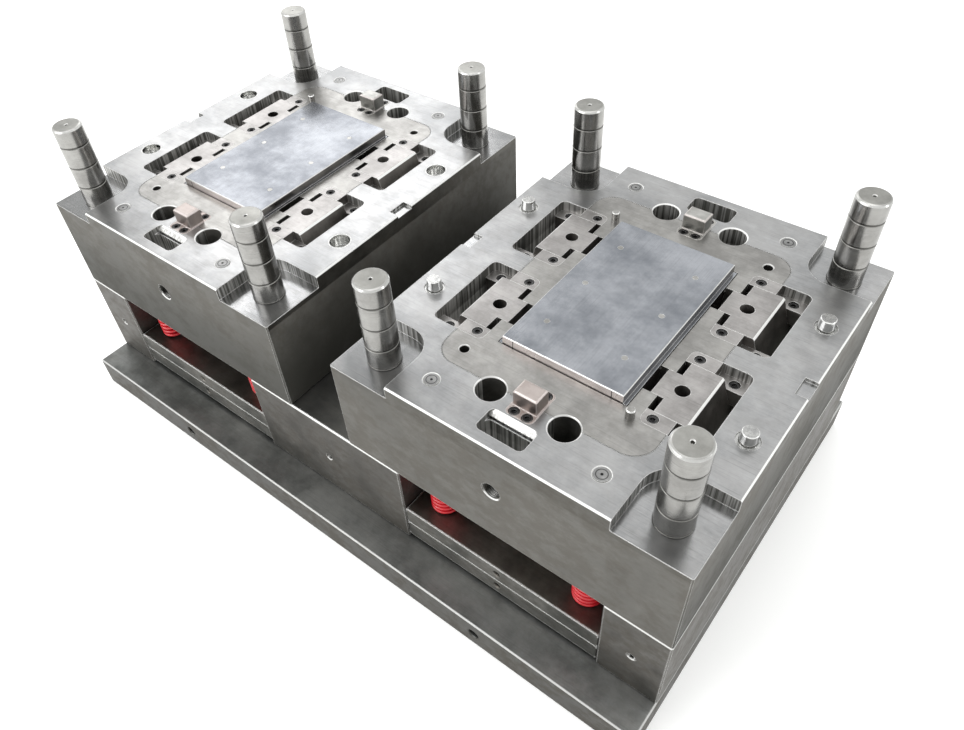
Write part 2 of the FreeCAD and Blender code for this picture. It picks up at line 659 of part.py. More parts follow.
# ---------------------------------------------------------------- pillars, pins, interlocks
def guide_pillar():
    """Headed guide pillar at +X +Y with a chamfered end, undercut where it leaves the plate."""
    top = FACE_Z + PILLAR_RISE
    foot = FACE_Z - CORNER_DEPTH
    shaft = rod(PILLAR_R, PLATE_Z, top, PILLAR_X, PILLAR_Y)
    rim = [edge for edge in shaft.Edges if edge.Closed and edge.Vertexes[0].Z > FACE_Z]
    shaft = shaft.makeChamfer(PILLAR_CHAMFER, rim)
    head = rod(PILLAR_R + PILLAR_HEAD_EXTRA_R, PLATE_Z, PLATE_Z + PILLAR_HEAD_H,
               PILLAR_X, PILLAR_Y)
    undercut = rod(PILLAR_R, foot, foot + PILLAR_UNDERCUT_H, PILLAR_X, PILLAR_Y)
    core = rod(PILLAR_R - PILLAR_UNDERCUT_DEPTH, foot, foot + PILLAR_UNDERCUT_H,
               PILLAR_X, PILLAR_Y)
    return shaft.fuse(head).cut(undercut.cut(core))


def return_pin():
    """Headed return pin at +X +Y, flush with the parting face when drawn back."""
    head = rod(RETURN_R + PIN_HEAD_EXTRA_R, RETAINER_Z, RETAINER_Z + PIN_HEAD_H,
               RETURN_X, RETURN_Y)
    return rod(RETURN_R, RETAINER_Z, FACE_Z, RETURN_X, RETURN_Y).fuse(head)


def return_spring():
    """Envelope of the coil spring round the return pin at +X +Y."""
    outer = rod(SPRING_R, RETAINER_TOP, PLATE_Z + SPRING_POCKET_H, RETURN_X, RETURN_Y)
    return outer.cut(rod(SPRING_R - SPRING_WALL, RETAINER_TOP, PLATE_Z + SPRING_POCKET_H,
                         RETURN_X, RETURN_Y))


def lock_peg():
    """Tapered interlock peg at +X +Y on a round foot let into the plate."""
    foot = rod(LOCK_FOOT_R, FACE_Z - LOCK_SEAT_H, FACE_Z - LOCK_TRIM, LOCK_X, LOCK_Y)
    rise = LOCK_PEG_RISE + LOCK_TRIM
    tip_r = LOCK_PEG_R - rise * math.tan(math.radians(LOCK_TAPER))
    cone = Part.makeCone(LOCK_PEG_R, tip_r, rise, Vec(LOCK_X, LOCK_Y, FACE_Z - LOCK_TRIM))
    tip = [edge for edge in cone.Edges if edge.Closed and edge.Vertexes[0].Z > FACE_Z]
    return foot.fuse(cone.makeChamfer(LOCK_CHAMFER, tip))


def lock_socket():
    """Tapered interlock socket at +X +Y: a bush with a thin rim that takes a tapered peg."""
    bush = rod(LOCK_SEAT_R, FACE_Z - LOCK_SEAT_H, FACE_Z, LOCK_X, LOCK_Y)
    mouth_r = LOCK_SEAT_R - LOCK_SOCKET_WALL
    low_r = mouth_r - LOCK_SOCKET_DEPTH * math.tan(math.radians(LOCK_TAPER))
    low = Vec(LOCK_X, LOCK_Y, FACE_Z - LOCK_SOCKET_DEPTH)
    return bush.cut(Part.makeCone(low_r, mouth_r, LOCK_SOCKET_DEPTH, low))


def ejector_pin(x, y):
    """Headed ejector pin from the retainer plate to the core block's face."""
    head = rod(EJECTOR_R + PIN_HEAD_EXTRA_R, RETAINER_Z, RETAINER_Z + PIN_HEAD_H, x, y)
    return rod(EJECTOR_R, RETAINER_Z, BLOCK_TOP, x, y).fuse(head)


def support_pillar(sy):
    """Support pillar between the clamp plate and the core plate, drilled for its screw."""
    pillar = rod(SUPPORT_R, CLAMP_H, PLATE_Z, 0, sy * SUPPORT_Y)
    return pillar.cut(rod(SUPPORT_SCREW_R, CLAMP_H, PLATE_Z, 0, sy * SUPPORT_Y))


# ---------------------------------------------------------------- ejector set
def ejector_holes(z0, z1):
    """Clearance cutters that both ejector plates share."""
    cutters = []
    for x, y in mirrored(GUIDE_X, GUIDE_Y):
        cutters.append(rod(GUIDE_R + BUSH_WALL, z0, z1, x, y))
    for sy in SIGNS:
        cutters.append(rod(SUPPORT_R + PILLAR_PASS_GAP, z0, z1, 0, sy * SUPPORT_Y))
    return cutters


def ejector_base():
    """Lower ejector plate with the screw seats and a tapped hole in each end."""
    cutters = ejector_holes(EJECT_Z, RETAINER_Z)
    for x, y in mirrored(PLATE_SCREW_X, PLATE_SCREW_Y):
        cutters.append(screw_seat(PLATE_SCREW_R, PLATE_SCREW_SEAT_Z, EJECT_Z, x, y))
        cutters.append(rod(PLATE_SCREW_R + SHANK_GAP, EJECT_Z, RETAINER_Z, x, y))
    for sy in SIGNS:
        cutters.append(end_hole(SPACER_HOLE_R, SPACER_HOLE_DEPTH, SPACER_HOLE_CHAMFER, 0,
                                sy * EJECT_D / 2, EJECT_Z + EJECT_BASE_H / 2, -sy))
    return cut_all(centred_block(EJECT_W, EJECT_D, EJECT_Z, RETAINER_Z), cutters)


def ejector_retainer():
    """Upper ejector plate that holds the pin heads down on the lower one."""
    cutters = ejector_holes(RETAINER_Z, RETAINER_TOP)
    heads = [(RETURN_R, x, y) for x, y in mirrored(RETURN_X, RETURN_Y)]
    heads += [(EJECTOR_R, x, y) for x, y in EJECTOR_SPOTS]
    for radius, x, y in heads:
        cutters.append(rod(radius, RETAINER_Z, RETAINER_TOP, x, y))
        cutters.append(rod(radius + PIN_HEAD_EXTRA_R, RETAINER_Z, RETAINER_Z + PIN_HEAD_H, x, y))
    for x, y in mirrored(PLATE_SCREW_X, PLATE_SCREW_Y):
        cutters.append(rod(PLATE_SCREW_R, RETAINER_Z, PLATE_SCREW_TIP_Z, x, y))
    for sy in SIGNS:
        cutters.append(end_hole(SPACER_HOLE_R, SPACER_HOLE_DEPTH, SPACER_HOLE_CHAMFER, 0,
                                sy * EJECT_D / 2, RETAINER_Z + RETAINER_H / 2, -sy))
    return cut_all(centred_block(EJECT_W, EJECT_D, RETAINER_Z, RETAINER_TOP), cutters)


def stop_pads():
    """Round stops on the retainer plate that meet the core plate at full stroke."""
    top = PLATE_Z - EJECT_STROKE
    return [rod(STOP_R, RETAINER_TOP, top, x, y) for x, y in mirrored(STOP_X, STOP_Y)]


def guide_bushes():
    """Bushes of the ejector set on its guide pins."""
    bushes = []
    for x, y in mirrored(GUIDE_X, GUIDE_Y):
        sleeve = rod(GUIDE_R + BUSH_WALL, EJECT_Z, RETAINER_TOP + BUSH_RISE, x, y)
        bore = rod(GUIDE_R + RUN_FIT, EJECT_Z, RETAINER_TOP + BUSH_RISE, x, y)
        bushes.append(sleeve.cut(bore))
    return bushes


# ---------------------------------------------------------------- write the nodes
SIDES = {"left": -1, "right": 1}
LOCK_BORES = {"left": LOCK_SEAT_R, "right": LOCK_FOOT_R}

save("clamp_plate", [clamp_plate()])
save("spacer_left", [spacer(SPACER_W, -SPACER_SIDE_X)])
save("spacer_right", [spacer(SPACER_W, SPACER_SIDE_X)])
save("spacer_centre", [spacer(2 * (SPACER_INNER_X + SPACER_W / 2), 0)])
save("clamp_screws", [cap_screw(CLAMP_SCREW_R, CLAMP_SEAT_Z, PLATE_Z + CLAMP_SCREW_GRIP, x, y)
                      for x, y in CLAMP_SPOTS])

insert = core_insert()
raised_core = core_block()
slide_piece = slide()
PER_STATION = {
    "core_insert": [insert],
    "core_block": [raised_core],
    "core_locators": locators(),
    "guide_pillars": four_corners(guide_pillar()),
    "gibs": [piece for part in gib_pair() for piece in four_corners(part)],
    "wear_plates": four_corners(wear_plate()),
    "wedge_blocks": [turned(wedge_block(), 1, sy) for sy in SIGNS],
    "insert_screws": [cap_screw(INSERT_SCREW_R, INSERT_SEAT_Z, INSERT_Z + INSERT_SCREW_BITE, x, y)
                      for x, y in mirrored(INSERT_SCREW_X, INSERT_SCREW_Y)],
    "return_springs": four_corners(return_spring()),
    "ejector_base": [ejector_base()],
    "ejector_retainer": [ejector_retainer()],
    "ejector_screws": [cap_screw(PLATE_SCREW_R, PLATE_SCREW_SEAT_Z,
                                 PLATE_SCREW_TIP_Z, x, y)
                       for x, y in mirrored(PLATE_SCREW_X, PLATE_SCREW_Y)],
    "return_pins": four_corners(return_pin()),
    "ejector_pins": [ejector_pin(x, y) for x, y in EJECTOR_SPOTS],
    "ejector_bushes": guide_bushes(),
    "stop_pads": stop_pads(),
}
SHARED = {
    "rest_buttons": [rod(REST_R, CLAMP_H, EJECT_Z, x, y) for x, y in mirrored(REST_X, REST_Y)],
    "ejector_guides": [rod(GUIDE_R, CLAMP_H - GUIDE_SEAT, PLATE_Z + GUIDE_SEAT, x, y)
                       for x, y in mirrored(GUIDE_X, GUIDE_Y)],
    "support_pillars": [support_pillar(sy) for sy in SIGNS],
    "support_screws": [cap_screw(SUPPORT_SCREW_R, SUPPORT_SEAT_Z, PLATE_Z + CLAMP_SCREW_GRIP,
                                 0, sy * SUPPORT_Y) for sy in SIGNS],
}
for node, shapes in SHARED.items():
    save(node, at_station(-1, shapes) + at_station(1, shapes))
for name, side in SIDES.items():
    save("core_plate_" + name, at_station(side, [core_plate(LOCK_BORES[name])]))
    for node, shapes in PER_STATION.items():
        save(node + "_" + name, at_station(side, shapes))
    for label, sx, sy in (("front_outer", side, -1), ("front_inner", -side, -1),
                          ("back_outer", side, 1), ("back_inner", -side, 1)):
        save("slide_" + name + "_" + label, at_station(side, [turned(slide_piece, sx, sy)]))
save("interlock_pegs", at_station(1, four_corners(lock_peg())))
save("interlock_sockets", at_station(-1, four_corners(lock_socket())))
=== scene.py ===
import json
import math

import bpy
import numpy as np
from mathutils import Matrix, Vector


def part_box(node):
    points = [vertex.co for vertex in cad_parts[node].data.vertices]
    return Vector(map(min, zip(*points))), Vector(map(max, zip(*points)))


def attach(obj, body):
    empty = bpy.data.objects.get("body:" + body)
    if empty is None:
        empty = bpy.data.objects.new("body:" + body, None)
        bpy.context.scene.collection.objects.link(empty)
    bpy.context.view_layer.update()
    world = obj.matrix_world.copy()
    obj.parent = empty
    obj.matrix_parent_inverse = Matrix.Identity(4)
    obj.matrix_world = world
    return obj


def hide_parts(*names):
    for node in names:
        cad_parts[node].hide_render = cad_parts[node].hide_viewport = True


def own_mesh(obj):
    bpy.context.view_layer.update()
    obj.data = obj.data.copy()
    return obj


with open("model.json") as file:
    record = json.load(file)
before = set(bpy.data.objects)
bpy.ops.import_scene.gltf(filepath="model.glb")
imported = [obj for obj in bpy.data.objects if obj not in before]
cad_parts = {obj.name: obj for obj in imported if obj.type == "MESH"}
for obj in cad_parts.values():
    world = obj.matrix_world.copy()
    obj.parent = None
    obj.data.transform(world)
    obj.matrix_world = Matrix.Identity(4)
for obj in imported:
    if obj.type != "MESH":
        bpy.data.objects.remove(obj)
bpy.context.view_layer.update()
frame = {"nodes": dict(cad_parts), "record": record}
SIDES = ("left", "right")


# ---------------------------------------------------------------- clamp plate
# The clamp plate is a 45 mm slab of mild steel that carries the whole mould half. It is
# milled all over, left bare, and dark with oil and handling. Its ledges stick out in front
# and behind, where the machine's clamps press on them.
class Shade:
    """One shader value. Arithmetic on it adds Math nodes to the finish that it belongs to."""

    def __init__(self, finish, socket):
        self.finish = finish
        self.socket = socket

    def __add__(self, other):
        return self.finish.maths("ADD", self, other)

    def __sub__(self, other):
        return self.finish.maths("SUBTRACT", self, other)

    def __rsub__(self, other):
        return self.finish.maths("SUBTRACT", other, self)

    def __mul__(self, other):
        return self.finish.maths("MULTIPLY", self, other)

    def __abs__(self):
        return self.finish.maths("ABSOLUTE", self)

    __radd__ = __add__
    __rmul__ = __mul__


class Finish:
    """A procedural material: shades are built with its methods and fed to its shader."""

    def __init__(self, name, **fixed):
        self.material = bpy.data.materials.new(name)
        self.material.use_nodes = True
        self.tree = self.material.node_tree
        self.shader = self.tree.nodes["Principled BSDF"]
        for socket, value in fixed.items():
            self.shader.inputs[socket.replace("_", " ")].default_value = value

    def node(self, kind, settings=None, inputs=None, output=0):
        """Any node: its type, its settings, set first, then the values or links of its sockets."""
        made = self.tree.nodes.new("ShaderNode" + kind)
        for key, value in (settings or {}).items():
            setattr(made, key, value)
        for key, value in (inputs or {}).items():
            self.feed(made.inputs[key], value)
        return Shade(self, made.outputs[output])

    def feed(self, socket, value):
        """Link a shade into a socket, or set the socket to a plain value."""
        if isinstance(value, Shade):
            self.tree.links.new(value.socket, socket)
        else:
            socket.default_value = value

    def maths(self, operation, first, second=0.0):
        """One Math node on two numbers or shades."""
        return self.node("Math", {"operation": operation}, {0: first, 1: second})

    def mix(self, mask, first, second):
        """Colour that goes from the first to the second as the mask goes from 0 to 1."""
        return self.node("Mix", {"data_type": "RGBA"}, {0: mask, 6: first, 7: second}, 2)

    def rise(self, value, low, high):
        """0 where the value is below low, 1 where it is above high, and smooth between."""
        settings = {"interpolation_type": "SMOOTHSTEP"}
        return self.node("MapRange", settings, {"Value": value, "From Min": low, "From Max": high})

    def beyond(self, value, level):
        """1 where the value reaches the level, and 0 from two millimetres short of it."""
        return self.rise(value, level - 0.002, level - 0.001)

    def upward(self):
        """1 on faces that look straight up, 0 on upright and slanted ones."""
        return self.rise(self.axis("Z", "Normal"), 0.8, 0.95)

    def axis(self, name, source="Object"):
        """One axis of the point on the surface, or of the way the surface faces."""
        vector = self.node("TexCoord", output=source)
        return self.node("SeparateXYZ", None, {0: vector}, name)

    def cloud(self, size, detail=3.0, roughness=0.55):
        """Cloudy noise from 0 to 1 whose lumps have the given length along X, Y and Z."""
        scale = tuple(1 / length for length in size)
        place = self.node("TexCoord", output="Object")
        lumps = self.node("VectorMath", {"operation": "MULTIPLY"}, {0: place, 1: scale})
        return self.node("TexNoise", None, {"Vector": lumps, "Scale": 1.0, "Detail": detail,
                                            "Roughness": roughness})

    def rounded(self, width):
        """The way the surface would face if its edges were rounded to the given radius."""
        return self.node("Bevel", {"samples": 4}, {"Radius": width})

    def rim(self, rounded):
        """1 along the edges and 0 elsewhere: how far the rounded facing turns from the true one."""
        true = self.node("NewGeometry", output="Normal")
        dot = {"operation": "DOT_PRODUCT"}
        agree = self.node("VectorMath", dot, {0: rounded, 1: true}, "Value")
        return self.rise(1 - agree, 0.01, 0.2)

    def finish(self, colour, roughness, height=None, depth=0.0, rounded=None):
        """Feed the shader with a colour, a roughness, a relief of some depth and round edges."""
        self.feed(self.shader.inputs["Base Color"], colour)
        self.feed(self.shader.inputs["Roughness"], roughness)
        relief = {"Strength": 1.0, "Distance": depth, "Height": height}
        if rounded is not None:
            relief["Normal"] = rounded
        self.feed(self.shader.inputs["Normal"], self.node("Bump", None, relief))
        return self


def machined(skin, top, side, oil=(0.075, 0.062, 0.045, 1), oily=0.35, lump=0.075,
             lay=(0.05, 0.0009, 0.0009), gloss=(0.3, 0.45), side_gloss=(0.42, 0.6)):
    """Colour, roughness and relief of machined steel. Clouds shift the tone between a dark and
    a light one, apart for faces that look up and for the rest. Fine streaks follow the cutter's
    lay, and oil browns the sides in patches."""
    clouds = skin.rise(skin.cloud((lump, lump, lump), 6.0, 0.68), 0.3, 0.7)
    smears = skin.cloud((lump / 4, lump / 7, lump / 6), 6.0, 0.7)
    streaks = skin.cloud(lay, 2.0)
    up = skin.rise(skin.axis("Z", "Normal"), 0.55, 0.9)
    tone = skin.mix(up, skin.mix(clouds, *side), skin.mix(clouds, *top))
    patches = skin.rise(smears + clouds * 0.25, 0.5, 0.8) * (1 - up * 0.6) * oily
    tone = skin.mix(patches, tone, oil)
    tone = skin.mix(skin.rise(streaks, 0.5, 0.8) * 0.25, tone, (0.06, 0.06, 0.06, 1))
    rough_side = clouds * (side_gloss[1] - side_gloss[0]) + side_gloss[0]
    rough_top = smears * (gloss[1] - gloss[0]) + gloss[0]
    rough = rough_side + up * (rough_top - rough_side) + patches * 0.2
    return tone, rough, streaks + smears * 0.6


def edge_wear_and_painted_highlight(skin, tone, width, share=0.8, highlight_tone=(0.93, 0.93, 0.92, 1), dull=0.0):
    """The tone with bright edges, and the rounded facing that makes them catch the light. Edges,
    and the slanted rims of chamfers and holes, are painted near white by their share, a painted
    highlight that is partly rubbed wear too, and there scatter the light as dull surfaces do."""
    rounded = skin.rounded(width)
    slant = skin.axis("Z", "Normal")
    slant_highlight = skin.rise(slant, 0.3, 0.5) * (1 - skin.rise(slant, 0.82, 0.92))
    # Edges and slanted rims are painted near white and lose their metal: a painted highlight,
    # partly also rubbed wear.
    wear_and_highlight = share * skin.maths("MAXIMUM", skin.rim(rounded), slant_highlight)
    skin.feed(skin.shader.inputs["Metallic"], (1 - wear_and_highlight) * (0.95 - dull) + 0.1)
    return skin.mix(wear_and_highlight, tone, highlight_tone), rounded


def dress(skin, *nodes):
    """Give a finish to CAD nodes, in every material slot that they have."""
    for node in nodes:
        for slot in frame["nodes"][node].material_slots:
            slot.material = skin.material


plate_steel = Finish("clamp_plate_steel", Metallic=0.9)
tone, rough, relief = machined(plate_steel, top=((0.13, 0.134, 0.13, 1), (0.3, 0.305, 0.3, 1)),
                               side=((0.06, 0.058, 0.052, 1), (0.15, 0.148, 0.14, 1)), oily=0.5,
                               gloss=(0.32, 0.5), lay=(0.06, 0.0012, 0.0012))
HOLE_BAND = (0.012, 0.016)
plate_low, plate_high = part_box("clamp_plate")
from_middle = abs(plate_steel.axis("Z") - (plate_low.z + plate_high.z) / 2)
# The painted highlight on edges is kept to the top and bottom of the plate, clear of its middle
# height.
outer_edges = plate_steel.rise(from_middle, *HOLE_BAND)
tone, rounded = edge_wear_and_painted_highlight(plate_steel, tone, 0.0016, outer_edges * 0.5)
plate_steel.finish(tone, rough, relief, 0.00006, rounded)
dress(plate_steel, "clamp_plate")

# ---------------------------------------------------------------- spacer blocks
# Three spacer blocks of the same steel hold the core plates up and leave room for the
# ejector sets. Their ends are milled, with one tapped handling hole in each.
spacer_steel = Finish("spacer_steel", Metallic=0.9)
tone, rough, relief = machined(spacer_steel, top=((0.13, 0.13, 0.125, 1), (0.2, 0.2, 0.19, 1)),
                               side=((0.085, 0.08, 0.072, 1), (0.19, 0.185, 0.175, 1)), oily=0.4,
                               lump=0.06)
tone, rounded = edge_wear_and_painted_highlight(spacer_steel, tone, 0.0024)
spacer_steel.finish(tone, rough, relief, 0.00006, rounded)
dress(spacer_steel, "spacer_left", "spacer_centre", "spacer_right", "support_pillars")

# ---------------------------------------------------------------- screws below
# Black socket cap screws clamp the stack from below, and smaller ones hold the supports,
# the ejector plates and the core inserts. They are heat treated and blackened.
black_oxide = Finish("black_oxide", Metallic=0.85)
tone, rough, relief = machined(black_oxide, top=((0.022, 0.022, 0.024, 1), (0.06, 0.06, 0.062, 1)),
                               side=((0.02, 0.02, 0.022, 1), (0.05, 0.05, 0.052, 1)), oily=0.2,
                               lump=0.008, lay=(0.0004, 0.0004, 0.0004), gloss=(0.28, 0.42))
tone, rounded = edge_wear_and_painted_highlight(black_oxide, tone, 0.0005, 0.5, (0.4, 0.39, 0.38, 1))
black_oxide.finish(tone, rough, relief, 0.00002, rounded)
dress(black_oxide, "clamp_screws", "support_screws")
for side in SIDES:
    dress(black_oxide, "insert_screws_" + side, "ejector_screws_" + side)

# ---------------------------------------------------------------- ejector sets
# Each ejector set is a pair of ground plates screwed together. It slides on guide pins in
# bronze bushes, and its return pins and ejector pins rise through the core. The face of a
# return pin shows the ring and the centre hole that turning left on it.
ejector_steel = Finish("ejector_plate_steel", Metallic=0.9)
tone, rough, relief = machined(ejector_steel, top=((0.13, 0.115, 0.1, 1), (0.26, 0.24, 0.215, 1)),
                               side=((0.13, 0.128, 0.118, 1), (0.3, 0.295, 0.28, 1)), oily=0.4,
                               lump=0.05, side_gloss=(0.3, 0.5))
SMALL_HOLE_BAND = (0.007, 0.009)
base_low, base_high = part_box("ejector_base_left")
half_plate = (base_high.z - base_low.z) / 2
# The painted highlight on edges is kept to the top and bottom of each plate, clear of its middle
# height.
from_middle = abs(abs(ejector_steel.axis("Z") - base_high.z) - half_plate)
tone, rounded = edge_wear_and_painted_highlight(ejector_steel, tone, 0.0034,
                             ejector_steel.rise(from_middle, *SMALL_HOLE_BAND))
ejector_steel.finish(tone, rough, relief, 0.00006, rounded)

pin_steel = Finish("ground_pin_steel", Metallic=1.0)
tone, rough, relief = machined(pin_steel, top=((0.24, 0.235, 0.225, 1), (0.4, 0.395, 0.385, 1)),
                               side=((0.3, 0.295, 0.285, 1), (0.6, 0.595, 0.58, 1)), oily=0.15,
                               lump=0.02, lay=(0.03, 0.03, 0.0006), gloss=(0.24, 0.36),
                               side_gloss=(0.14, 0.24))
tone, rounded = edge_wear_and_painted_highlight(pin_steel, tone, 0.0006, 0.6)
pin_steel.finish(tone, rough, relief, 0.00003, rounded)

bronze = Finish("bush_bronze", Metallic=1.0)
tone, rough, relief = machined(bronze, top=((0.38, 0.2, 0.07, 1), (0.55, 0.32, 0.12, 1)),
                               side=((0.36, 0.19, 0.07, 1), (0.52, 0.3, 0.11, 1)), lump=0.01,
                               oily=0.2, lay=(0.01, 0.01, 0.0006))
bronze.finish(tone, rough, relief, 0.00002)

dress(pin_steel, "ejector_guides")
dress(ejector_steel, "rest_buttons")
PIN_HEAD_RADIUS = 0.011
PIN_RING = (0.0050, 0.0056)
PIN_DOT = 0.0011
for side in SIDES:
    dress(ejector_steel, "ejector_base_" + side, "ejector_retainer_" + side, "stop_pads_" + side)
    dress(pin_steel, "ejector_pins_" + side)
    dress(bronze, "ejector_bushes_" + side)
    low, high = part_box("return_pins_" + side)
    return_x = (high.x - low.x) / 2 - PIN_HEAD_RADIUS
    return_y = (high.y - low.y) / 2 - PIN_HEAD_RADIUS
    pin_face = Finish("return_pin_steel_" + side, Metallic=1.0)
    tone, rough, relief = machined(pin_face, top=((0.2, 0.2, 0.2, 1), (0.36, 0.36, 0.36, 1)),
                                   side=((0.3, 0.3, 0.29, 1), (0.5, 0.5, 0.49, 1)), lump=0.02)
    across = abs(abs(pin_face.axis("X") - (low.x + high.x) / 2) - return_x)
    along = abs(abs(pin_face.axis("Y")) - return_y)
    spread = pin_face.node("CombineXYZ", None, {"X": across, "Y": along})
    reach = pin_face.node("VectorMath", {"operation": "LENGTH"}, {0: spread}, "Value")
    middle, half = sum(PIN_RING) / 2, (PIN_RING[1] - PIN_RING[0]) / 2
    ring = 1 - pin_face.rise(abs(reach - middle), half, half * 2)
    dot = 1 - pin_face.rise(reach, PIN_DOT, PIN_DOT * 1.5)
    up = pin_face.upward()
    # The ring and the centre hole are painted near black: painted shade for a groove and a hole
    # that the mesh does not have.
    tone = pin_face.mix((ring * 0.8 + dot) * up, tone, (0.012, 0.012, 0.012, 1))
    tone, rounded = edge_wear_and_painted_highlight(pin_face, tone, 0.0009, 0.7)
    pin_face.finish(tone, rough, relief, 0.00003, rounded)
    dress(pin_face, "return_pins_" + side)

# ---------------------------------------------------------------- return springs
# Four die springs per station push the ejector set back down. Each is coiled from flat
# wire with rounded corners, has ground flat ends, and is lacquered red.
SPRING_RADIUS = 0.0175
SPRING_TURNS = 15.5
CLOSED_TURNS = 0.9
WIRE_WIDTH = 0.0068
WIRE_SHARE = 0.6
WIRE_POWER = 0.6
SPRING_STEPS = 560
WIRE_STEPS = 12


def spring_points(centre, radius, low, high):
    """Wire round an upright helix. Its height is flat for the closed turn at each end and even
    between. The wire's section is a superellipse: the cosine and sine of the angle round it, each
    raised to the power 0.6, times half its width outwards and half its height upwards."""
    along = np.linspace(0, 1, SPRING_STEPS)[:, None]
    round_wire = np.linspace(0, 2 * np.pi, WIRE_STEPS, endpoint=False)[None, :]
    height = (high - low) / (SPRING_TURNS + 1) * WIRE_SHARE
    turn = along * SPRING_TURNS
    share = np.clip((turn - CLOSED_TURNS) / (SPRING_TURNS - 2 * CLOSED_TURNS), 0, 1)
    end_turns = np.clip(turn - SPRING_TURNS + CLOSED_TURNS, 0, None)
    closed = height * (np.clip(turn, 0, CLOSED_TURNS) + end_turns)
    free = high - low - height - 2 * height * CLOSED_TURNS
    middle = low + height / 2 + closed + share * free
    cosine, sine = np.cos(round_wire), np.sin(round_wire)
    across = np.sign(cosine) * np.abs(cosine) ** WIRE_POWER * WIRE_WIDTH / 2
    rise = np.sign(sine) * np.abs(sine) ** WIRE_POWER * height / 2
    reach = radius - WIRE_WIDTH / 2 + across
    angle = 2 * np.pi * turn
    z = np.clip(middle + rise, low, high)
    return np.stack([centre[0] + reach * np.cos(angle), centre[1] + reach * np.sin(angle), z], -1)


def woven(name, grids, skin, ring=True):
    """Mesh object from grids of points, all of one size. Neighbouring points make quads, the
    last column joins the first, and the first and last rows are closed by one face each, or
    joined to one another where ring is false."""
    grids = np.asarray(grids, float)
    count, rows, columns, _ = grids.shape
    index = np.arange(count * rows * columns).reshape(count, rows, columns)
    beside = np.roll(index, -1, axis=2)
    corners = [index, beside, np.roll(beside, -1, axis=1), np.roll(index, -1, axis=1)]
    if ring:
        corners = [corner[:, :-1] for corner in corners]
    quads = np.stack(corners, -1).reshape(-1, 4).tolist()
    if ring:
        quads += index[:, 0, ::-1].tolist() + index[:, -1].tolist()
    mesh = bpy.data.meshes.new(name)
    mesh.from_pydata(grids.reshape(-1, 3), [], quads)
    mesh.materials.append(skin.material)
    mesh.shade_smooth()
    piece = bpy.data.objects.new(name, mesh)
    bpy.context.scene.collection.objects.link(piece)
    return piece


def sharp_edges(piece, degrees):
    """Keep edges that bend by more than the angle crisp, and shade the rest smoothly."""
    bpy.context.view_layer.objects.active = piece
    piece.select_set(True)
    bpy.ops.object.shade_smooth_by_angle(angle=math.radians(degrees))
    piece.select_set(False)


lacquer = Finish("spring_lacquer", Metallic=0.0, Coat_Weight=0.5, Coat_Roughness=0.12)
paint_clouds = lacquer.cloud((0.012, 0.012, 0.004), 3.0)
paint_tone = lacquer.mix(paint_clouds, (0.42, 0.004, 0.012, 1), (0.78, 0.012, 0.024, 1))
chips = lacquer.rim(lacquer.rounded(0.0008))
chips = chips * lacquer.rise(lacquer.cloud((0.004, 0.004, 0.004)), 0.5, 0.62)
paint_tone = lacquer.mix(chips * 0.6, paint_tone, (0.3, 0.27, 0.25, 1))
lacquer.finish(paint_tone, paint_clouds * 0.2 + 0.25, paint_clouds, 0.0001)

for side in SIDES:
    low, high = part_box("return_springs_" + side)
    spots = [(x, y) for x in (low.x + SPRING_RADIUS, high.x - SPRING_RADIUS)
             for y in (low.y + SPRING_RADIUS, high.y - SPRING_RADIUS)]
    coils = [spring_points(spot, SPRING_RADIUS, low.z, high.z) for spot in spots]
    springs = woven("die_springs_" + side, coils, lacquer)
    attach(springs, "base")
    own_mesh(springs)
    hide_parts("return_springs_" + side)

# ---------------------------------------------------------------- core plates
# The core plates are 140 mm blocks of tool steel. The parting faces are ground to a satin,
# with the polish of careful cleaning; the sides are milled, browner and duller, and pockets
# and rebates are darker still, though their walls are painted pale with upright stripes, a
# painted reflection. A lifting hole with an M20 thread opens in front and behind.
THREAD_PITCH = 0.0025
THREAD_DEPTH = 0.0014
THREAD_STEPS = 64
ROWS_PER_PITCH = 6
THREAD_SLACK = 0.0002
SLEEVE_SLACK = 0.00005
FACE_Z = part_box("core_insert_left")[1].z
DEEP_Z = FACE_Z - 0.022
INSERT_CORNER = 0.025
JOINT_HALF = 0.00042
JOINT_DARK = (0.012, 0.012, 0.012, 1)


def thread_points(mouth, inward, radius, length):
    """Threaded sleeve along Y. Inside, the radius drops from the sleeve's outer one by a ridge:
    a triangle wave of the distance along the hole less the share of a turn, cut flat at the top
    and the bottom. Outside, two plain rows bring the surface back to the mouth."""
    rows = int(length / THREAD_PITCH * ROWS_PER_PITCH)
    along = np.linspace(0, length, rows)[:, None]
    turn = np.linspace(0, 1, THREAD_STEPS, endpoint=False)[None, :]
    wave = np.abs((along / THREAD_PITCH - turn) % 1 - 0.5) * 2
    ridge = np.clip(wave * 1.3 - 0.15, 0, 1)
    inner = radius - THREAD_SLACK - THREAD_DEPTH * ridge
    outer = np.full((2, THREAD_STEPS), radius - SLEEVE_SLACK)
    radii = np.concatenate([inner, outer])
    deep = np.concatenate([along, [[length], [0]]])
    angle = 2 * np.pi * turn * -inward
    return np.stack([mouth[0] + radii * np.cos(angle), mouth[1] + inward * (deep + 0 * angle),
                     mouth[2] + radii * np.sin(angle)], -1)


